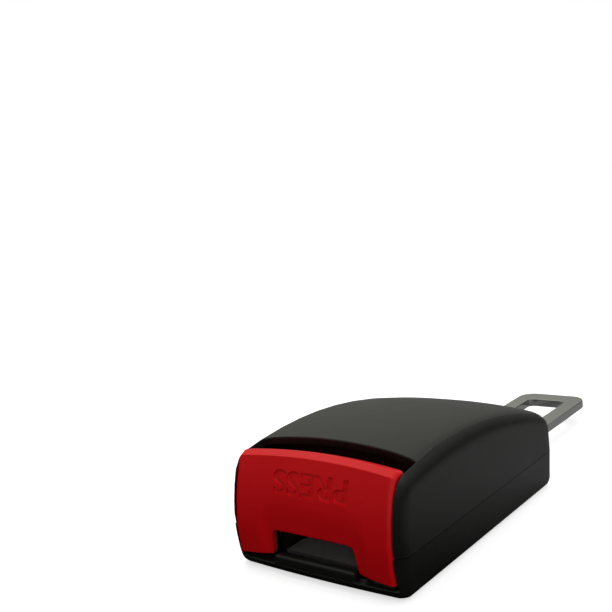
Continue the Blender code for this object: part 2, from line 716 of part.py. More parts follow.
def main():
    for old in list(bpy.data.objects):
        bpy.data.objects.remove(old)
    make_upper_cover()
    make_lower_cover()
    make_press_button()
    make_tongue_blade()
    make_buckle_frame()
    make_rivet("rivet_left", -1)
    make_rivet("rivet_right", 1)
    make_latch_plate()
    make_latch_pin()
    make_latch_pin_clip()
    make_release_pin()
    make_ejector()
    make_springs()


main()
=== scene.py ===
"""Seat belt extender: finished covers, button, blade and inner parts, with the stage that shows them."""

import math

import bmesh
import bpy
from mathutils import Matrix, Vector


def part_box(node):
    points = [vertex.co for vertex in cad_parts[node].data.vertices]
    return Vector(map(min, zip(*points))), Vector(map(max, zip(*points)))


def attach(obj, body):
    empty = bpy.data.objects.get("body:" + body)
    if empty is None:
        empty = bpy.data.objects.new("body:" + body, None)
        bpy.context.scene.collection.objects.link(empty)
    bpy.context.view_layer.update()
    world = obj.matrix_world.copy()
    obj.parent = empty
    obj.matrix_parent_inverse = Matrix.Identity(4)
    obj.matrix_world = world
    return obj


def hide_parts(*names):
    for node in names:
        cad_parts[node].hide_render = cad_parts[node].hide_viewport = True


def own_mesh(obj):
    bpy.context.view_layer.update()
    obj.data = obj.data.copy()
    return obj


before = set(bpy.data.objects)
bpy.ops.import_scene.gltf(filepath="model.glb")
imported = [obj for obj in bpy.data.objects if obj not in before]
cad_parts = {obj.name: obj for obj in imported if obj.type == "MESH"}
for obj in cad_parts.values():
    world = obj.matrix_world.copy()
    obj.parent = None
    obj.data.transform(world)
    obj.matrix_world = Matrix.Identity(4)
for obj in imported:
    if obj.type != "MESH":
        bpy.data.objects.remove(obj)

bl_info = {
    "name": "Seat belt extender",
    "version": (1, 0, 0),
    "blender": (4, 5, 0),
    "location": "View3D > Sidebar > Belt extender",
    "description": "Models the finished pieces of a short seat belt extender around its packed frame",
    "category": "Object",
}

MM = 0.001
NEAR = 0.01 * MM  # places closer than this count as one
FINE = 0.0001 * MM  # smallest step of a moved point
SHARP = math.radians(30)  # shading breaks at edges above this angle
CREASE_ANGLE = math.radians(10)  # edges above this angle are creases of the button
CORNER_ANGLE = math.radians(40)  # edges above this angle are corners of the covers
RIM_ANGLE = math.radians(50)  # edges above this angle are rims

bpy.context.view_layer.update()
COVER_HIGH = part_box("upper_cover")[1]
TONGUE_LOW, TONGUE_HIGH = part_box("tongue_blade")
PIN_LOW, PIN_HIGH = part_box("release_pin")
RIVET_LOW, RIVET_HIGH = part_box("rivet_right")
FRONT = -TONGUE_HIGH.y
BACK = COVER_HIGH.y


def length(name, description, millimetres):
    """Gives a length property from its default in millimetres."""
    return bpy.props.FloatProperty(
        name=name, description=description, default=millimetres * MM, unit="LENGTH", precision=5
    )


def colour(name, description, code):
    """Gives a colour property from its sRGB hex code."""
    return bpy.props.StringProperty(name=name, description=description, default=code)


class ExtenderHousing(bpy.types.PropertyGroup):
    """Sizes of the two black covers."""

    half_width: length("Half width", "From the middle to a side wall", COVER_HIGH.x / MM)
    height: length("Height", "From the underside to the roof's ridge", COVER_HIGH.z / MM)
    bow: length("Front bow", "How far the front's sides lie behind its middle", 0.7)
    bulge: length("Front radius", "Radius of the front's bulge from top to bottom", 36.0)
    nose: length("Nose height", "Height at which the front reaches furthest", 9.0)
    front_top: length("Front edge height", "Height at which the front meets the roof", 27.2)
    arch: length("Roof radius", "Radius of the roof's arch from front to back", 120.0)
    peak: length("Roof peak", "From the front to the highest part of the roof", 26.5)
    crown: length("Roof crown", "Fall of the roof from the middle to the sides", 1.6)
    shoulder: length("Roof shoulder", "Further fall close to the sides", 0.8)
    edge: length("Edge radius", "Radius of the outer edges", 3.0)
    wall: length("Wall", "Thickness of the moulded wall", 1.7)
    cheek: length("Cheek", "Thickness of the walls beside the button", 2.2)
    seam: length("Seam height", "Height of the line where the covers meet", 9.5)
    seam_gap: length("Seam gap", "Open width of that line", 0.12)
    draft: length("Draft", "How far the lower cover leans in at its foot", 0.45)
    edge_middle: length("Roof edge, middle", "From the front to the roof's edge in the middle", 13.0)
    edge_side: length("Roof edge, sides", "From the front to the roof's edge at the sides", 11.8)
    foot: length("Foot radius", "Radius of the edges round the underside", 2.4)
    rim: length("Rim rounding", "Rounding of the edges round the button", 0.4)


class ExtenderButton(bpy.types.PropertyGroup):
    """Sizes of the red button and its lettering."""

    half_width: length("Half width", "From the middle to a side of the button", 20.7)
    wall: length("Wall", "Thickness of the moulded wall", 1.8)
    face_top: length("Face height", "Height of the face's top edge at the sides", 25.3)
    face_rise: length("Face rise", "How much higher that edge is in the middle", 1.0)
    strip_height: length("Strip height", "Rise of the slanted strip above the face", 0.8)
    strip_side: length("Strip depth, sides", "Depth of the slanted strip at the sides", 1.7)
    strip_rise: length("Strip depth, more", "How much deeper the strip is in the middle", 0.4)
    depth_side: length("Depth, sides", "Depth of the button's top at the sides", 7.8)
    depth_rise: length("Depth, more", "How much deeper the top is in the middle", 0.8)
    leg_bottom: length("Leg height", "Height of the legs' outer corners", 3.5)
    leg_rise: length("Leg rise", "Rise of the legs' lower edges towards the middle", 1.8)
    half_mouth: length("Half mouth", "Half the mouth's width", 11.2)
    mouth_top: length("Mouth height", "Height of the mouth's upper edge", 10.1)
    mouth_corner: length("Mouth corner", "Radius of the mouth's upper corners", 1.6)
    flare: length("Flare", "How much the mouth widens towards the legs' ends", 0.4)
    proud: length("Setback", "From the front of the housing's box to the face's sides", 0.1)
    hollow: length("Hollow", "How far the face's middle lies behind its sides", 0.6)
    dish: length("Dish", "Depth of the shallow dish round the mouth", 0.6)
    rounding: length("Rounding", "Rounding of the mouth's and legs' edges", 0.4)
    lip_half: length("Half lip", "Half the width of the bar under the mouth", 10.9)
    lip_top: length("Lip height", "Height of the bar under the mouth", 4.6)
    lip_front: length("Lip setback", "From the front to that bar", 0.65)
    lip_depth: length("Lip depth", "Depth of that bar", 2.4)
    letter_offset: length("Letter weight", "Added to the outline of the letters", -0.02)
    letter_space: bpy.props.FloatProperty(
        name="Letter spacing", description="Spacing of the letters", default=1.0
    )
    letter_stretch: bpy.props.FloatProperty(
        name="Letter stretch", description="Width of the letters", default=1.2
    )
    letter_size: length("Letter size", "Font size of the engraved word", 6.7)
    letter_middle: length("Letter height", "Height of the middle of the word", 21.3)
    letter_depth: length("Letter depth", "Depth of the engraving", 0.5)
    word: bpy.props.StringProperty(name="Word", description="Plain word on the button", default="PRESS")


class ExtenderTongue(bpy.types.PropertyGroup):
    """Sizes of the steel blade."""

    tip_corner: length("Tip corner", "Radius of the tip's corners", 4.5)
    window_half: length("Half window", "Half the window's width", 5.8)
    window_near: length("Window start", "From the middle of the object to the window", 34.6)
    window_far: length("Window end", "From the middle of the object to the window's far end", 57.8)
    window_corner: length("Window corner", "Radius of the window's corners", 1.6)
    roll: length("Sheared edge", "Rounding that the punch leaves on the edges", 0.3)


class ExtenderColours(bpy.types.PropertyGroup):
    """sRGB colours of the finishes; those of the frame, latch and ejector are darkened as painted shade for
    the inside of the mouth.
    """

    black: colour("Black ABS", "Covers", "#131412")
    black_light: colour("Black ABS, pale", "Paler patches of the covers", "#181A16")
    red: colour("Red ABS", "Button", "#DC0611")
    red_light: colour("Red ABS, pale", "Paler patches of the button", "#E40A14")
    nickel: colour("Nickel", "Blade, rivets and pins", "#A9AAA4")
    # Frame and latch grey, darker than plain plating as painted shade, so that they show dark inside the
    # mouth
    zinc: colour("Zinc", "Frame and latch", "#85898C")
    spring: colour("Spring steel", "Springs and clip", "#8F9092")
    # Ejector near black, made darker still as painted shade, so that the inside of the mouth shows dark
    acetal: colour("Black acetal", "Ejector", "#0C0C0D")


class ExtenderStage(bpy.types.PropertyGroup):
    """Camera and light."""

    camera: bpy.props.FloatVectorProperty(
        name="Camera", description="Where the camera stands", default=(0.119054, -0.201717, 0.088768),
        unit="LENGTH", subtype="XYZ", precision=5,
    )
    yaw: bpy.props.FloatProperty(
        name="Yaw", description="Turn of the view to the left", default=math.radians(39.226),
        unit="ROTATION",
    )
    pitch: bpy.props.FloatProperty(
        name="Pitch", description="Tilt of the view downwards", default=math.radians(9.02), unit="ROTATION"
    )
    roll: bpy.props.FloatProperty(
        name="Roll", description="Turn of the picture", default=math.radians(-6.357), unit="ROTATION"
    )
    lens: bpy.props.FloatProperty(name="Lens", description="Focal length on a 36 mm frame", default=53.64)
    lamp: bpy.props.FloatProperty(
        name="Lamp power", description="Power of the soft box", default=1.5, unit="POWER"
    )
    lamp_place: bpy.props.FloatVectorProperty(
        name="Lamp", description="Where the soft box hangs", default=(-0.25, 0.15, 0.7),
        unit="LENGTH", subtype="XYZ", precision=5,
    )
    lamp_size: length("Lamp size", "Side of the square soft box", 600.0)
    floor_size: length("Floor size", "Side of the square floor", 3000.0)


GROUPS = {
    "extender_housing": ExtenderHousing,
    "extender_button": ExtenderButton,
    "extender_tongue": ExtenderTongue,
    "extender_colours": ExtenderColours,
    "extender_stage": ExtenderStage,
}


# Modelling by hand


def block(name, low, high):
    """Adds a block between two corners and opens it for editing."""
    if bpy.context.object and bpy.context.object.mode != "OBJECT":
        bpy.ops.object.mode_set(mode="OBJECT")
    bpy.ops.object.select_all(action="DESELECT")
    low = Vector(low)
    high = Vector(high)
    bpy.ops.mesh.primitive_cube_add(size=1, location=(low + high) / 2, scale=high - low)
    return opened(name)


def rod(name, start, end, radius, sides=24):
    """Adds a round bar between two points and opens it for editing."""
    if bpy.context.object and bpy.context.object.mode != "OBJECT":
        bpy.ops.object.mode_set(mode="OBJECT")
    bpy.ops.object.select_all(action="DESELECT")
    start = Vector(start)
    along = Vector(end) - start
    bpy.ops.mesh.primitive_cylinder_add(
        vertices=sides, radius=radius, depth=along.length, location=start + along / 2,
        rotation=along.to_track_quat("Z", "Y").to_euler(),
    )
    return opened(name)


def opened(name):
    """Names the new piece, puts its place into its mesh and opens it for editing."""
    piece = bpy.context.object
    piece.name = name
    piece.data.name = name
    bpy.ops.object.transform_apply(location=True, rotation=True, scale=True)
    bpy.ops.object.mode_set(mode="EDIT")
    return piece


def work_on(piece, mode="OBJECT"):
    """Makes a piece the only one at work, in object or edit mode."""
    if bpy.context.object and bpy.context.object.mode != "OBJECT":
        bpy.ops.object.mode_set(mode="OBJECT")
    bpy.ops.object.select_all(action="DESELECT")
    piece.select_set(True)
    bpy.context.view_layer.objects.active = piece
    bpy.ops.object.mode_set(mode=mode)
    return piece


def select(kind, rule):
    """Selects the points, edges or faces of the edited piece that the rule accepts."""
    mesh = bpy.context.edit_object.data
    bpy.context.tool_settings.mesh_select_mode = [kind == each for each in ("VERT", "EDGE", "FACE")]
    shape = bmesh.from_edit_mesh(mesh)
    for each in (shape.faces, shape.edges, shape.verts):
        for item in each:
            item.select = False
    items = {"VERT": shape.verts, "EDGE": shape.edges, "FACE": shape.faces}[kind]
    found = [item for item in items if rule(item)]
    for item in found:
        item.select_set(True)
    shape.select_flush_mode()
    bmesh.update_edit_mesh(mesh)
    if not found:
        raise RuntimeError("nothing was found to select on " + bpy.context.edit_object.name)


def cut(axis, places, **choice):
    """Cuts the edited piece through by planes across one axis."""
    for place in places:
        bpy.ops.mesh.select_all(action="SELECT")
        spot = [0, 0, 0]
        normal = [0, 0, 0]
        spot[axis] = place
        normal[axis] = 1
        bpy.ops.mesh.bisect(plane_co=spot, plane_no=normal, threshold=FINE, **choice)


def both(places):
    """Gives each place on both sides of the middle."""
    return sorted({side * place for place in places for side in (-1, 1)})


def reshape(target):
    """Moves each point of the edited piece to where target(point) says, like moves together."""
    shape = bmesh.from_edit_mesh(bpy.context.edit_object.data)
    moves = {}
    for i, point in enumerate(shape.verts):
        step = tuple(round(part / FINE) for part in Vector(target(point.co.copy())) - point.co)
        if any(step):
            moves.setdefault(step, set()).add(i)
    for step, members in moves.items():
        select("VERT", lambda point: point.index in members)
        bpy.ops.transform.translate(value=[part * FINE for part in step])


def round_edges(rule, radius, segments=3):
    """Rounds the chosen edges of the edited piece."""
    select("EDGE", rule)
    bpy.ops.mesh.bevel(offset=radius, segments=segments, affect="EDGES", clamp_overlap=False)


def weigh(rule, share):
    """Gives the chosen edges their share of the rounding that comes at the end."""
    select("EDGE", rule)
    bpy.ops.transform.edge_bevelweight(value=share)


def apply(kind, **settings):
    """Adds one modifier to the piece at work and applies it."""
    bpy.ops.object.mode_set(mode="OBJECT")
    bpy.ops.object.modifier_add(type=kind)
    added = bpy.context.object.modifiers[-1]
    for name, value in settings.items():
        setattr(added, name, value)
    bpy.ops.object.modifier_apply(modifier=added.name)
    bpy.ops.object.mode_set(mode="EDIT")


def combine(piece, operation, tool, **choice):
    """Cuts a tool out of a piece, or joins it on, and removes the tool."""
    before = len(piece.data.vertices)
    work_on(piece, "EDIT")
    apply("BOOLEAN", operation=operation, solver="EXACT", object=tool, **choice)
    if len(bmesh.from_edit_mesh(piece.data).verts) < before / 2:
        raise RuntimeError("too little is left of " + piece.name + " after " + tool.name)
    bpy.data.objects.remove(tool)


def thicken(wall):
    """Gives the edited skin its wall, inwards, and says how many points the skin has."""
    bpy.ops.object.mode_set(mode="OBJECT")
    skin = len(bpy.context.object.data.vertices)
    apply("SOLIDIFY", thickness=wall, offset=-1, use_even_offset=True, use_quality_normals=True)
    return skin


def on_skin(edge, skin):
    """Says whether an edge is a sharp outer edge of a thickened skin."""
    return max(point.index for point in edge.verts) < skin and edge.calc_face_angle(0) > RIM_ANGLE


def middle_of(edge):
    """Gives the middle of an edge."""
    return (edge.verts[0].co + edge.verts[1].co) / 2


def finish(piece, look, body, slot, *nodes):
    """Shades a piece, gives it its material, ties it to its body and hides the nodes that it stands for."""
    work_on(piece, "EDIT")
    bpy.ops.mesh.select_all(action="SELECT")
    bpy.ops.mesh.remove_doubles(threshold=FINE)
    bpy.ops.object.mode_set(mode="OBJECT")
    bpy.ops.object.shade_smooth_by_angle(angle=SHARP)
    apply("WEIGHTED_NORMAL", keep_sharp=True, weight=100)
    bpy.ops.object.mode_set(mode="OBJECT")
    piece.data.materials.clear()
    piece.data.materials.append(look)
    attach(piece, body)
    if nodes:
        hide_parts(*nodes)


# Forms that several pieces share


def front_at(x, z):
    """Gives how far forward the bulging front lies."""
    sizes = bpy.context.scene.extender_housing
    return FRONT + sizes.bow * (x / sizes.half_width) ** 2 + (z - sizes.nose) ** 2 / (2 * sizes.bulge)


def face_at(x, z):
    """Gives where the button's face lies: hollow across for a finger, bulging from top to foot."""
    sizes = bpy.context.scene.extender_button
    housing = bpy.context.scene.extender_housing
    hollow = sizes.hollow * max(0, 1 - (x / sizes.half_width) ** 2)
    return FRONT + sizes.proud + hollow + (z - housing.nose) ** 2 / (2 * housing.bulge)


def roof_at(x, y):
    """Gives the height of the arched roof."""
    sizes = bpy.context.scene.extender_housing
    across = x / sizes.half_width
    fall = sizes.crown * across**2 + sizes.shoulder * across**8
    return sizes.height - fall - (y - FRONT - sizes.peak) ** 2 / (2 * sizes.arch)


def roof_edge(x):
    """Gives where the roof's curved front edge lies behind the button."""
    sizes = bpy.context.scene.extender_housing
    inner = sizes.half_width - sizes.cheek
    share = max(0, 1 - (x / inner) ** 2)
    return FRONT + sizes.edge_side + (sizes.edge_middle - sizes.edge_side) * share


COLUMNS = [place * MM for place in (0, 3, 6, 8.5, 10.7, 13, 15.5, 17.6, 19.4)]
WALL_LEVELS = [height * MM for height in (12, 15, 18.5, 22)]
EDGE_ROW = FRONT + 12.5 * MM  # becomes the roof's curved front edge
ROOF_ROWS = [FRONT + depth * MM for depth in (20, 26.5, 33, 40, 47, 54, 61, 68)]
TRAY_ROWS = [FRONT + depth * MM for depth in (12, 30, 50, 68)]
TRAY_TOP = 12 * MM  # top of the lower cover's block before it is cut along the seam
OPENING_BACK = FRONT + 8 * MM  # the opening round the button lies before this
SLOT_HALF = 10.7 * MM  # half the width of the slot for the blade


def cover_block(name, low, high, levels, rows):
    """Starts a cover as a block cut into columns, levels and rows."""
    half = bpy.context.scene.extender_housing.half_width
    piece = block(name, (-half, FRONT, low), (half, BACK, high))
    cut(0, both(COLUMNS))
    cut(2, levels)
    cut(1, rows)
    return piece


def round_housing(foot_share, brow_share):
    """Rounds a cover's outer edges: its foot and the front of its roof by a share of the radius."""
    sizes = bpy.context.scene.extender_housing

    def on_roof(point):
        return brow_share and abs(point.z - roof_at(point.x, point.y)) < NEAR

    def on_front(point):
        return point.y < front_at(point.x, sizes.front_top) + NEAR

    def kind(edge):
        near, far = (point.co for point in edge.verts)
        if edge.calc_face_angle(0) < CORNER_ANGLE:
            return None
        if max(near.z, far.z) < NEAR:
            return "foot"
        if on_roof(near) and on_roof(far):
            return "brow" if on_front(near) and on_front(far) else "full"
        return "full" if abs(far.z - near.z) > edge.calc_length() / 2 else None

    weigh(lambda edge: kind(edge) == "full", 1)
    if foot_share:
        weigh(lambda edge: kind(edge) == "foot", foot_share)
    if brow_share:
        weigh(lambda edge: kind(edge) == "brow", brow_share)
    apply("BEVEL", width=sizes.edge, segments=5, limit_method="WEIGHT", use_clamp_overlap=False)


def flatten_cheeks(skin):
    """Presses the inner side of the two cheeks beside the button flat."""
    sizes = bpy.context.scene.extender_housing
    inner = sizes.half_width - sizes.cheek
    reach = inner - 2 * MM
    shape = bmesh.from_edit_mesh(bpy.context.edit_object.data)
    shape.verts.ensure_lookup_table()
    cheeks = {
        i for i in range(skin, len(shape.verts))
        if shape.verts[i].co.y < roof_edge(inner) + NEAR and abs(shape.verts[i].co.x) > reach
    }
    for side in (-1, 1):
        select("VERT", lambda point: point.index in cheeks and point.co.x * side > 0)
        bpy.ops.transform.resize(value=(0, 1, 1), center_override=(side * inner, 0, 0))


def make_upper_cover():
    """Models the upper cover: arched roof, rounded sides and two cheeks beside the button."""
    sizes = bpy.context.scene.extender_housing
    inner = sizes.half_width - sizes.cheek
    clearance = 1.2 * sizes.edge
    lowest = WALL_LEVELS[0]
    highest = WALL_LEVELS[-1]
    cover = cover_block("upper_cover_shell", 0, sizes.height, WALL_LEVELS, [EDGE_ROW] + ROOF_ROWS)

    def formed(point):
        at_top = point.z > sizes.height - NEAR
        at_front = point.y < FRONT + NEAR
        if at_front:
            point.y = front_at(point.x, sizes.front_top)
        elif abs(point.y - EDGE_ROW) < NEAR:
            point.y = roof_edge(point.x)
        roof = roof_at(point.x, point.y)
        if at_top:
            point.z = roof
        elif point.z > lowest:
            room = roof - clearance - lowest
            point.z = lowest + room * (point.z - lowest) / (highest - lowest)
        if at_front and not at_top:
            point.y = front_at(point.x, point.z)
        return point

    reshape(formed)
    round_housing(foot_share=0, brow_share=0.6)
    cut(0, both([inner]))
    cut(2, [sizes.seam + sizes.seam_gap / 2], clear_inner=True)

    def over_button(face):
        place = face.calc_center_median()
        return abs(place.x) < inner and place.y < roof_edge(place.x)

    select("FACE", over_button)
    bpy.ops.mesh.delete(type="FACE")
    skin = thicken(sizes.wall)
    flatten_cheeks(skin)
    low = sizes.seam + sizes.seam_gap
    slack = 0.2 * MM

    def round_button(edge):
        place = middle_of(edge)
        return on_skin(edge, skin) and place.z > low and place.y < roof_edge(place.x) + slack

    round_edges(round_button, sizes.rim)
    return cover


def make_lower_cover():
    """Models the lower cover: a drafted tray with a rounded foot and the slot for the blade."""
    sizes = bpy.context.scene.extender_housing
    inner = sizes.half_width - sizes.cheek
    play = 0.3 * MM
    slot = [TONGUE_LOW.z - play, TONGUE_HIGH.z + play]
    cover = cover_block("lower_cover_shell", 0, TRAY_TOP, slot + [sizes.seam], TRAY_ROWS)

    def formed(point):
        if point.y < FRONT + NEAR:
            point.y = front_at(point.x, point.z)
        lean = sizes.draft * max(0, 1 - point.z / sizes.seam)
        if abs(point.x) > sizes.half_width - NEAR:
            point.x -= math.copysign(lean, point.x)
        if point.y > BACK - NEAR:
            point.y -= lean
        return point

    reshape(formed)
    round_housing(foot_share=sizes.foot / sizes.edge, brow_share=0)
    cut(0, both([inner]))
    cut(2, [sizes.seam - sizes.seam_gap / 2], clear_outer=True)

    def before_button(face):
        place = face.calc_center_median()
        return abs(place.x) < inner and place.z > sizes.foot and place.y < OPENING_BACK

    def blade_slot(face):
        place = face.calc_center_median()
        return abs(place.x) < SLOT_HALF and slot[0] < place.z < slot[1] and place.y > BACK - MM

    select("FACE", lambda face: before_button(face) or blade_slot(face))
    bpy.ops.mesh.delete(type="FACE")
    skin = thicken(sizes.wall)
    flatten_cheeks(skin)
    high = sizes.seam - sizes.seam_gap
    rounding = 0.6 * sizes.rim

    def open_edge(edge):
        place = middle_of(edge)
        at_opening = place.y < OPENING_BACK or place.y > BACK - MM
        return on_skin(edge, skin) and place.z < high and at_opening

    round_edges(open_edge, rounding)
    return cover


def make_lip():
    """Models the rounded bar under the mouth, with the groove along its front."""
    sizes = bpy.context.scene.extender_button
    housing = bpy.context.scene.extender_housing
    groove = housing.foot
    groove_half = 0.2 * MM
    groove_depth = 0.5 * MM
    rounding = 0.7 * MM
    lip = block(
        "mouth_lip", (-sizes.lip_half, FRONT + sizes.lip_front, groove - 2 * groove_half),
        (sizes.lip_half, FRONT + sizes.lip_front + sizes.lip_depth, sizes.lip_top),
    )
    cut(2, [groove - groove_half, groove + groove_half])

    def upper_rim(edge):
        return edge.calc_face_angle(0) > RIM_ANGLE and middle_of(edge).z > groove + groove_half

    def front_groove(face):
        place = face.calc_center_median()
        return abs(place.z - groove) < groove_half and face.normal.y < -0.9

    round_edges(upper_rim, rounding, 4)
    select("FACE", front_groove)
    bpy.ops.mesh.extrude_region_move(TRANSFORM_OT_translate={"value": (0, groove_depth, 0)})
    return lip


def make_cover_ribs():
    """Models the wall behind the button's room and the two walls that lead a tongue in."""
    sizes = bpy.context.scene.extender_housing
    half = sizes.half_width - sizes.wall - 1.6 * MM
    near = FRONT + 15.8 * MM
    far = near + 1.8 * MM
    bottom = 17 * MM
    top = 28 * MM
    baffle = block("baffle", (-half, near, bottom), (half, far, top))
    cut(0, both(COLUMNS))

    def under_roof(point):
        if point.z > top - NEAR:
            point.z = roof_at(point.x, point.y) - 0.6 * sizes.wall
        return point

    reshape(under_roof)
    walls = []
    apart = 12.3 * MM
    wall_half = 0.6 * MM
    wall_top = 9.2 * MM
    rounding = 0.4 * MM
    for name, side in (("throat_left", -1), ("throat_right", 1)):
        low = (side * apart - wall_half, FRONT + 6.2 * MM, sizes.wall / 2)
        high = (side * apart + wall_half, FRONT + 13.8 * MM, wall_top)
        walls.append(block(name, low, high))
        round_edges(lambda edge: middle_of(edge).z > wall_top - NEAR, rounding, 2)
    return baffle, walls


BUTTON_COLUMNS = [
    place * MM for place in (0, 2, 4, 6, 8, 9.6, 10.4, 10.9, 11.2, 12, 13, 14, 15, 16.5, 18, 19)
]
BUTTON_LEVELS = [height * MM for height in (7, 10.1, 11, 12.2, 13.5, 15, 16.5, 18, 19.5, 21, 22.5, 24)]
STRIP_ROW = FRONT + 4 * MM  # becomes the upper edge of the slanted strip
TOP_FALL = 0.6 * MM  # fall of the button's top from the strip to its back edge
DISH_BESIDE = 3.6 * MM  # how far the shallow dish reaches beside the mouth
DISH_ABOVE = 7 * MM  # how far it reaches above the mouth


def button_skin():
    """Models the button's skin: hollow face, slanted strip, short top and sides, open behind and below."""
    sizes = bpy.context.scene.extender_button
    half = sizes.half_width
    low = sizes.leg_bottom
    high = sizes.face_top + sizes.face_rise
    back_row = FRONT + sizes.depth_side + sizes.depth_rise
    button = block("press_button_moulding", (-half, FRONT, low), (half, back_row, high))
    cut(0, both(BUTTON_COLUMNS))
    cut(2, BUTTON_LEVELS)
    cut(1, [STRIP_ROW])
    corner = sizes.half_mouth - sizes.mouth_corner

    def formed(point):
        share = 1 - (point.x / half) ** 2
        at_top = point.z > high - NEAR
        at_front = point.y < FRONT + NEAR
        crest = sizes.face_top + sizes.face_rise * share
        across = abs(point.x)
        if point.z < low + NEAR:
            point.z = low + sizes.leg_rise * (1 - across / half)
            if at_front and abs(across - sizes.half_mouth) < NEAR:
                point.x += math.copysign(sizes.flare, point.x)
        elif at_top:
            point.z = crest
        elif at_front and abs(point.z - sizes.mouth_top) < NEAR:
            if corner < across < sizes.half_mouth + NEAR:
                drop = sizes.mouth_corner**2 - (across - corner) ** 2
                point.z += math.sqrt(max(0, drop)) - sizes.mouth_corner
        if at_front:
            beside = max(0, abs(point.x) - sizes.half_mouth) / DISH_BESIDE
            above = max(0, point.z - sizes.mouth_top) / DISH_ABOVE
            near = max(0, 1 - math.hypot(beside, above))
            point.y = face_at(point.x, point.z) + sizes.dish * near**2 * (3 - 2 * near)
        elif abs(point.y - STRIP_ROW) < NEAR:
            point.y = face_at(point.x, crest) + sizes.strip_side + sizes.strip_rise * share
            if at_top:
                point.z += sizes.strip_height
        else:
            point.y = FRONT + sizes.depth_side + sizes.depth_rise * share
            if at_top:
                point.z += sizes.strip_height - TOP_FALL
        return point

    reshape(formed)

    def open_face(face):
        place = face.calc_center_median()
        below = abs(face.normal.z) > 0.8 and place.z < low + 3 * MM
        behind = face.normal.y > 0.8
        at_mouth = (
            face.normal.y < -0.5 and abs(place.x) < sizes.half_mouth + sizes.flare / 2
            and max(point.co.z for point in face.verts) < sizes.mouth_top + NEAR
        )
        return below or behind or at_mouth

    select("FACE", open_face)
    bpy.ops.mesh.delete(type="FACE")
    return button


def make_button():
    """Models the button: its moulding and the two arms that carry the release pin, bored for the pin."""
    sizes = bpy.context.scene.extender_button
    button = button_skin()
    half = sizes.half_width
    side_rounding = 1.0 * MM
    strip_share = 0.09
    strip_low = sizes.face_top - 0.3 * MM

    def crease(edge):
        return edge.calc_face_angle(0) > CREASE_ANGLE and len(edge.link_faces) == 2

    def side_edge(edge):
        return crease(edge) and min(abs(point.co.x) for point in edge.verts) > half - NEAR

    def strip_edge(edge):
        return crease(edge) and not side_edge(edge) and middle_of(edge).z > strip_low

    weigh(side_edge, 1)
    weigh(strip_edge, strip_share)
    apply("BEVEL", width=side_rounding, segments=4, limit_method="WEIGHT", use_clamp_overlap=False)
    skin = thicken(sizes.wall)
    rim_top = sizes.face_top - 3 * MM
    rim_back = FRONT + 4 * MM

    def lower_rim(edge):
        place = middle_of(edge)
        return on_skin(edge, skin) and place.z < rim_top and place.y < rim_back

    round_edges(lower_rim, sizes.rounding)
    arm_half = 1.2 * MM
    arm_rounding = 0.35 * MM
    for side in (-1, 1):
        middle = side * (PIN_HIGH.x - arm_half)
        low = (middle - arm_half, FRONT + 2.2 * MM, PIN_HIGH.z - 3 * MM)
        high = (middle + arm_half, PIN_HIGH.y + 2.1 * MM, PIN_HIGH.z + 0.6 * MM)
        arm = block("arm", low, high)
        round_edges(lambda edge: edge.calc_face_angle(0) > RIM_ANGLE, arm_rounding, 2)
        combine(button, "UNION", arm)
    pin = (PIN_LOW + PIN_HIGH) / 2
    play = 0.15 * MM
    radius = (PIN_HIGH.z - PIN_LOW.z) / 2 + play
    bore = rod("bore", (-half, pin.y, pin.z), (half, pin.y, pin.z), radius)
    combine(button, "DIFFERENCE", bore)
    return button


def cut_letters(button):
    """Engraves the word on the button's face, turned so that it reads from the housing's side."""
    sizes = bpy.context.scene.extender_button
    height = 1.2 * MM
    slant = 0.22 * MM
    work_on(button)
    bpy.ops.object.select_all(action="DESELECT")
    bpy.ops.object.text_add()
    letters = bpy.context.object
    letters.name = "letters"
    letters.data.body = sizes.word
    letters.data.size = sizes.letter_size
    letters.data.align_x = "CENTER"
    letters.data.align_y = "CENTER"
    letters.data.resolution_u = 5
    letters.data.extrude = height
    letters.data.offset = sizes.letter_offset
    letters.data.bevel_depth = slant
    letters.data.bevel_resolution = 1
    letters.data.space_character = sizes.letter_space
    bpy.ops.object.convert(target="MESH")
    letters = bpy.context.object
    wide = Matrix.Diagonal((sizes.letter_stretch, 1, 1, 1))
    upright = Matrix.Rotation(math.pi / 2, 4, "X")
    upside_down = Matrix.Rotation(math.pi, 4, "Y")
    lifted = Matrix.Translation((0, 0, sizes.letter_middle))
    letters.matrix_world = lifted @ upside_down @ (upright @ wide)
    bpy.ops.object.transform_apply(location=True, rotation=True, scale=True)
    bpy.ops.object.mode_set(mode="EDIT")
    bpy.ops.mesh.select_all(action="SELECT")
    bpy.ops.mesh.remove_doubles(threshold=FINE)
    cut(2, [sizes.letter_middle + step * MM for step in (-2, -1, 0, 1, 2)])
    deep = max(point.co.y for point in bmesh.from_edit_mesh(letters.data).verts)

    def on_face(point):
        point.y += face_at(point.x, point.z) + sizes.letter_depth - deep
        return point

    reshape(on_face)
    bpy.ops.mesh.select_all(action="SELECT")
    bpy.ops.mesh.normals_make_consistent(inside=False)
    combine(button, "DIFFERENCE", letters, use_self=True)


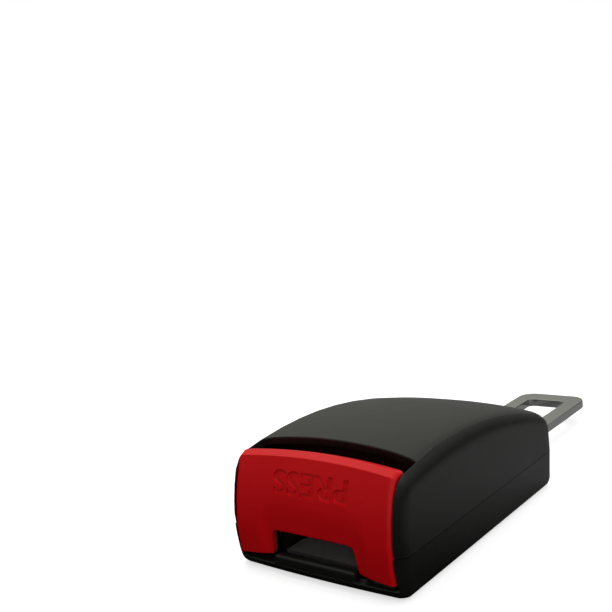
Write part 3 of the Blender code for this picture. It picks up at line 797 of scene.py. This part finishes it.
def make_tongue():
    """Models the punched blade: rounded tip, window, rivet holes and the soft edges of a punched sheet."""
    sizes = bpy.context.scene.extender_tongue
    blade = block("tongue_plate", TONGUE_LOW, TONGUE_HIGH)
    cut(0, both([sizes.window_half]))
    cut(1, [sizes.window_near, sizes.window_far])

    def in_window(face):
        place = face.calc_center_median()
        inside = abs(place.x) < sizes.window_half and sizes.window_near < place.y < sizes.window_far
        return inside and abs(face.normal.z) > 0.9

    select("FACE", in_window)
    bpy.ops.mesh.bridge_edge_loops()

    def upright(edge):
        near, far = (point.co for point in edge.verts)
        return abs(near.z - far.z) > MM and edge.calc_face_angle(0) > RIM_ANGLE

    def at_tip(edge):
        return upright(edge) and middle_of(edge).y > TONGUE_HIGH.y - MM

    def at_window(edge):
        return upright(edge) and abs(middle_of(edge).x) < sizes.window_half + NEAR

    round_edges(at_tip, sizes.tip_corner, 8)
    round_edges(at_window, sizes.window_corner, 5)
    middle = (RIVET_LOW + RIVET_HIGH) / 2
    through = 10 * MM
    hole_radius = 2.35 * MM
    for side in (-1, 1):
        x = side * middle.x
        hole = rod("hole", (x, middle.y, 0), (x, middle.y, through), hole_radius)
        combine(blade, "DIFFERENCE", hole)
    work_on(blade, "EDIT")
    covered = BACK - 4 * MM

    def rim(edge):
        return edge.calc_face_angle(0) > RIM_ANGLE and not upright(edge) and middle_of(edge).y > covered

    round_edges(rim, sizes.roll, 3)
    return blade


def make_spring(node, name):
    """Makes a coil spring from a copy of its node's turns and hides the node."""
    coil = bpy.data.objects.new(name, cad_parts[node].data.copy())
    bpy.context.collection.objects.link(coil)
    finish(coil, look_of(spring_steel), "housing", "spring_steel", node)
    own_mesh(coil)


# Materials


def linear(code):
    """Turns an sRGB hex code into a linear colour."""
    parts = [int(code[i:i + 2], 16) / 255 for i in (1, 3, 5)]
    return [*(p / 12.92 if p <= 0.04045 else ((p + 0.055) / 1.055) ** 2.4 for p in parts), 1.0]


def per(millimetres):
    """Gives the texture scale of a pattern with this spacing."""
    return 1 / (millimetres * MM)


def add(tree, kind, inputs=(), **settings):
    """Adds one node: inputs gives values or the outputs that feed it, settings its own choices."""
    node = tree.nodes.new(kind)
    for name, value in settings.items():
        setattr(node, name, value)
    for name, value in dict(inputs).items():
        if isinstance(value, bpy.types.NodeSocket):
            tree.links.new(value, node.inputs[name])
        else:
            node.inputs[name].default_value = value
    return node


def start_material(name):
    """Starts a material and gives its tree, its shader and the place on the object."""
    made = bpy.data.materials.new(name)
    made.use_nodes = True
    tree = made.node_tree
    place = add(tree, "ShaderNodeTexCoord").outputs["Object"]
    return made, tree, tree.nodes["Principled BSDF"], place


def noise(tree, place, millimetres, detail):
    """Gives a noise pattern with this spacing."""
    choices = {"Vector": place, "Scale": per(millimetres), "Detail": detail}
    return add(tree, "ShaderNodeTexNoise", choices).outputs["Fac"]


def relief(tree, pattern, strength, millimetres, **under):
    """Gives the surface that a pattern raises this high, on top of another relief where one is given."""
    choices = {"Height": pattern, "Strength": strength, "Distance": millimetres * MM}
    return add(tree, "ShaderNodeBump", {**choices, **under}).outputs["Normal"]


def vary_colour(tree, shader, pattern, code, pale_code):
    """Lets the colour vary with a pattern between two sRGB codes."""
    tone = add(tree, "ShaderNodeMix", {
        "Factor": pattern, "A": linear(code), "B": linear(pale_code),
    }, data_type="RGBA")
    tree.links.new(tone.outputs["Result"], shader.inputs["Base Color"])


def vary_gloss(tree, shader, pattern, low, high):
    """Lets the roughness vary with a pattern between two values."""
    gloss = add(tree, "ShaderNodeMapRange", {"Value": pattern, "To Min": low, "To Max": high})
    tree.links.new(gloss.outputs["Result"], shader.inputs["Roughness"])


def moulded_black_abs():
    """Moulded ABS from a spark-eroded mould: near black, with a fine matt grain that spreads its gloss."""
    colours = bpy.context.scene.extender_colours
    made, tree, shader, place = start_material("moulded_black_abs")
    patches = noise(tree, place, 7, 3.0)
    vary_colour(tree, shader, patches, colours.black, colours.black_light)
    vary_gloss(tree, shader, patches, 0.31, 0.39)
    grain = relief(tree, noise(tree, place, 0.4, 2.0), 0.5, 0.03)
    sink = relief(tree, noise(tree, place, 9, 1.0), 0.25, 0.12, Normal=grain)
    tree.links.new(sink, shader.inputs["Normal"])
    shader.inputs["IOR"].default_value = 1.54
    return made


def moulded_red_abs():
    """Moulded red ABS: a satin gloss with the slight waviness of a polished mould."""
    colours = bpy.context.scene.extender_colours
    made, tree, shader, place = start_material("moulded_red_abs")
    patches = noise(tree, place, 8, 2.0)
    vary_colour(tree, shader, patches, colours.red, colours.red_light)
    vary_gloss(tree, shader, patches, 0.27, 0.36)
    grain = relief(tree, noise(tree, place, 0.5, 2.0), 0.12, 0.02)
    waves = relief(tree, noise(tree, place, 6, 1.0), 0.3, 0.1, Normal=grain)
    tree.links.new(waves, shader.inputs["Normal"])
    shader.inputs["IOR"].default_value = 1.54
    shader.inputs["Specular IOR Level"].default_value = 0.3
    return made


def steel(name, code, low, high, stretch, spacing):
    """Plated steel: a metal whose gloss varies with the rolling or drawing lines under the plate."""
    made, tree, shader, place = start_material(name)
    shader.inputs["Metallic"].default_value = 1.0
    shader.inputs["Base Color"].default_value = linear(code)
    turned = add(tree, "ShaderNodeMapping", {"Vector": place, "Scale": stretch})
    lines = noise(tree, turned.outputs["Vector"], spacing, 3.0)
    vary_gloss(tree, shader, lines, low, high)
    tree.links.new(relief(tree, lines, 0.3, 0.01), shader.inputs["Normal"])
    return made


def nickel_plated_steel():
    """Bright nickel over punched steel: faint lines of the rolled strip run along the blade."""
    colours = bpy.context.scene.extender_colours
    return steel("nickel_plated_steel", colours.nickel, 0.22, 0.38, (1, 0.06, 1), 0.4)


def zinc_plated_steel():
    """Zinc over pressed sheet, a little cloudy; its grey is darkened as painted shade, so that the frame
    inside the mouth shows dark.
    """
    return steel("zinc_plated_steel", bpy.context.scene.extender_colours.zinc, 0.2, 0.3, (1, 0.5, 1), 1.2)


def spring_steel():
    """Drawn spring wire: fine marks of the die."""
    return steel("spring_steel", bpy.context.scene.extender_colours.spring, 0.25, 0.4, (1, 1, 1), 0.5)


def black_acetal():
    """Moulded acetal: slippery, with a waxy half gloss; its near black is partly the acetal's own and
    partly painted shade for the inside of the mouth.
    """
    made, tree, shader, place = start_material("black_acetal")
    shader.inputs["Base Color"].default_value = linear(bpy.context.scene.extender_colours.acetal)
    vary_gloss(tree, shader, noise(tree, place, 1.5, 2.0), 0.32, 0.42)
    return made


def lobe(tree, ray, side, power):
    """Gives a soft patch of light on one side of the room."""
    toward = Vector(side).normalized()
    facing = add(tree, "ShaderNodeVectorMath", {0: ray, 1: toward}, operation="DOT_PRODUCT")
    kept = add(tree, "ShaderNodeMath", {0: facing.outputs["Value"], 1: 0.0}, operation="MAXIMUM")
    return add(tree, "ShaderNodeMath", {0: kept.outputs[0], 1: power}, operation="POWER").outputs[0]


def scaled(tree, value, factor, base):
    """Gives a value times a factor, on top of a base."""
    choices = {0: value, 1: factor, 2: base}
    return add(tree, "ShaderNodeMath", choices, operation="MULTIPLY_ADD").outputs[0]


def chosen(tree, question, no, yes):
    """Gives one shader for the rays that a question names and another one for the rest."""
    return add(tree, "ShaderNodeMixShader", {0: question, 1: no.outputs[0], 2: yes.outputs[0]})


def pale_floor():
    """White studio floor with the object's soft shadow; the gloss mirrors it dim, and darkest in front."""
    made = bpy.data.materials.new("pale_floor")
    made.use_nodes = True
    tree = made.node_tree
    tree.nodes.clear()
    behind = (0.6, 0.8, 0)
    path = add(tree, "ShaderNodeLightPath")
    place = add(tree, "ShaderNodeTexCoord").outputs["Object"]
    reach = add(tree, "ShaderNodeVectorMath", {0: place, 1: behind}, operation="DOT_PRODUCT")
    shade = add(tree, "ShaderNodeMapRange", {
        "Value": reach.outputs["Value"], "From Min": -20 * MM, "From Max": 25 * MM,
        "To Min": 0.03, "To Max": 0.27,
    })
    dim = add(tree, "ShaderNodeBsdfDiffuse", {"Color": shade.outputs["Result"]})
    paint = add(tree, "ShaderNodeBsdfDiffuse", {"Color": (0.75, 0.75, 0.75, 1)})
    glow = add(tree, "ShaderNodeEmission", {"Color": (1, 1, 1, 1), "Strength": 0.62})
    lift = add(tree, "ShaderNodeAddShader", {0: paint.outputs[0], 1: glow.outputs[0]})
    shown = chosen(tree, path.outputs["Is Camera Ray"], dim, lift)
    add(tree, "ShaderNodeOutputMaterial", {"Surface": shown.outputs[0]})
    return made


def studio_room():
    """White room: soft light, weaker from the front left, and gloss from one side behind and from above."""
    world = bpy.data.worlds.new("studio_room")
    world.use_nodes = True
    tree = world.node_tree
    tree.nodes.clear()
    world.cycles.sampling_method = "NONE"
    path = add(tree, "ShaderNodeLightPath")
    ray = add(tree, "ShaderNodeTexCoord").outputs["Generated"]
    bright_side = lobe(tree, ray, (-0.6, 0.7, 0.4), 4.0)
    dark_side = lobe(tree, ray, (-0.62, -0.72, 0.31), 2.0)
    ceiling = lobe(tree, ray, (0, 0, 1), 2.0)
    gleam = scaled(tree, bright_side, 0.3, scaled(tree, ceiling, 0.6, 0.05))
    level = scaled(tree, dark_side, -0.78, 0.92)
    even = add(tree, "ShaderNodeBackground", {"Color": (1, 1, 1, 1), "Strength": level})
    shine = add(tree, "ShaderNodeBackground", {"Color": (0.99, 1, 0.91, 1), "Strength": gleam})
    white = add(tree, "ShaderNodeBackground", {"Color": (1, 1, 1, 1), "Strength": 1.0})
    lit = chosen(tree, path.outputs["Is Glossy Ray"], even, shine)
    shown = chosen(tree, path.outputs["Is Camera Ray"], lit, white)
    add(tree, "ShaderNodeOutputWorld", {"Surface": shown.outputs[0]})
    return world


def look_of(make):
    """Gives a material, made once."""
    return bpy.data.materials.get(make.__name__) or make()


# Operators


class ExtenderOperator:
    """Shared settings of this add-on's operators."""

    bl_options = {"REGISTER", "UNDO"}


class EXTENDER_OT_covers(ExtenderOperator, bpy.types.Operator):
    """Models the two black covers"""

    bl_idname = "extender.covers"
    bl_label = "Covers"

    def execute(self, context):
        upper = make_upper_cover()
        finish(upper, look_of(moulded_black_abs), "housing", "black_abs", "upper_cover")
        lower = make_lower_cover()
        finish(lower, look_of(moulded_black_abs), "housing", "black_abs", "lower_cover")
        return {"FINISHED"}


class EXTENDER_OT_mouth(ExtenderOperator, bpy.types.Operator):
    """Models the bar under the mouth and the walls behind it"""

    bl_idname = "extender.mouth"
    bl_label = "Mouth"

    def execute(self, context):
        black = look_of(moulded_black_abs)
        finish(make_lip(), black, "housing", "black_abs")
        baffle, walls = make_cover_ribs()
        for piece in (baffle, *walls):
            finish(piece, black, "housing", "black_abs")
        return {"FINISHED"}


class EXTENDER_OT_button(ExtenderOperator, bpy.types.Operator):
    """Models the red button with its engraved word"""

    bl_idname = "extender.button"
    bl_label = "Button"

    def execute(self, context):
        button = make_button()
        cut_letters(button)
        finish(button, look_of(moulded_red_abs), "button", "red_abs", "press_button")
        return {"FINISHED"}


class EXTENDER_OT_tongue(ExtenderOperator, bpy.types.Operator):
    """Models the steel blade"""

    bl_idname = "extender.tongue"
    bl_label = "Tongue"

    def execute(self, context):
        nickel = look_of(nickel_plated_steel)
        finish(make_tongue(), nickel, "housing", "nickel_plated_steel", "tongue_blade")
        return {"FINISHED"}


class EXTENDER_OT_springs(ExtenderOperator, bpy.types.Operator):
    """Makes the four coil springs"""

    bl_idname = "extender.springs"
    bl_label = "Springs"

    def execute(self, context):
        make_spring("button_spring_left", "button_coil_left")
        make_spring("button_spring_right", "button_coil_right")
        make_spring("ejector_spring", "ejector_coil")
        make_spring("latch_spring", "latch_coil")
        return {"FINISHED"}


INNER_PARTS = {
    "buckle_frame": zinc_plated_steel,
    "latch_plate": zinc_plated_steel,
    "rivet_left": nickel_plated_steel,
    "rivet_right": nickel_plated_steel,
    "latch_pin": nickel_plated_steel,
    "release_pin": nickel_plated_steel,
    "latch_pin_clip": spring_steel,
    "ejector": black_acetal,
}


class EXTENDER_OT_inner_parts(ExtenderOperator, bpy.types.Operator):
    """Gives the frame, latch, rivets, pins, clip and ejector their finishes; the frame's, latch's and
    ejector's colours are darkened as painted shade for the inside of the mouth
    """

    bl_idname = "extender.inner_parts"
    bl_label = "Inner parts"

    def execute(self, context):
        for name, make in INNER_PARTS.items():
            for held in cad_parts[name].material_slots:
                held.material = look_of(make)
        return {"FINISHED"}


class EXTENDER_OT_stage(ExtenderOperator, bpy.types.Operator):
    """Sets the floor, the lamp, the world and the camera"""

    bl_idname = "extender.stage"
    bl_label = "Stage"

    def execute(self, context):
        stage = context.scene.extender_stage
        bpy.ops.object.select_all(action="DESELECT")
        bpy.ops.mesh.primitive_plane_add(size=stage.floor_size)
        floor = context.object
        floor.name = "floor"
        floor.data.materials.append(pale_floor())
        context.scene.world = studio_room()
        bpy.ops.object.light_add(type="AREA", location=stage.lamp_place)
        lamp = context.object
        lamp.name = "soft_box"
        lamp.data.shape = "SQUARE"
        lamp.data.size = stage.lamp_size
        lamp.data.energy = stage.lamp
        lamp.visible_glossy = False
        lamp.rotation_euler = Vector(lamp.location).to_track_quat("Z", "Y").to_euler()
        bpy.ops.object.camera_add()
        camera = context.object
        across = Vector((math.cos(stage.yaw), math.sin(stage.yaw), 0))
        away = Vector((-math.sin(stage.yaw), math.cos(stage.yaw), 0))
        up = Vector((0, 0, 1))
        ahead = math.cos(stage.pitch) * away - math.sin(stage.pitch) * up
        above = math.sin(stage.pitch) * away + math.cos(stage.pitch) * up
        right = across * math.cos(stage.roll) + above * math.sin(stage.roll)
        top = above * math.cos(stage.roll) - across * math.sin(stage.roll)
        turn = Matrix((right, top, -ahead)).transposed().to_4x4()
        camera.matrix_world = Matrix.Translation(stage.camera) @ turn
        camera.data.lens = stage.lens
        camera.data.sensor_width = 36
        camera.data.clip_start = 0.01
        context.scene.camera = camera
        context.scene.view_settings.view_transform = "Standard"
        return {"FINISHED"}


OPERATORS = (
    EXTENDER_OT_covers, EXTENDER_OT_mouth, EXTENDER_OT_button, EXTENDER_OT_tongue, EXTENDER_OT_springs,
    EXTENDER_OT_inner_parts, EXTENDER_OT_stage,
)


class EXTENDER_PT_panel(bpy.types.Panel):
    """Lists the steps that make the extender"""

    bl_idname = "EXTENDER_PT_panel"
    bl_label = "Belt extender"
    bl_space_type = "VIEW_3D"
    bl_region_type = "UI"
    bl_category = "Belt extender"

    def draw(self, context):
        for step in OPERATORS:
            self.layout.operator(step.bl_idname)


def register():
    for group in GROUPS.values():
        bpy.utils.register_class(group)
    for name, group in GROUPS.items():
        setattr(bpy.types.Scene, name, bpy.props.PointerProperty(type=group))
    for step in OPERATORS:
        bpy.utils.register_class(step)
    bpy.utils.register_class(EXTENDER_PT_panel)


def unregister():
    bpy.utils.unregister_class(EXTENDER_PT_panel)
    for step in reversed(OPERATORS):
        bpy.utils.unregister_class(step)
    for name, group in reversed(GROUPS.items()):
        delattr(bpy.types.Scene, name)
        bpy.utils.unregister_class(group)


def main():
    register()
    bpy.ops.extender.covers()
    bpy.ops.extender.mouth()
    bpy.ops.extender.button()
    bpy.ops.extender.tongue()
    bpy.ops.extender.springs()
    bpy.ops.extender.inner_parts()
    bpy.ops.extender.stage()


if __name__ == "__main__":
    main()
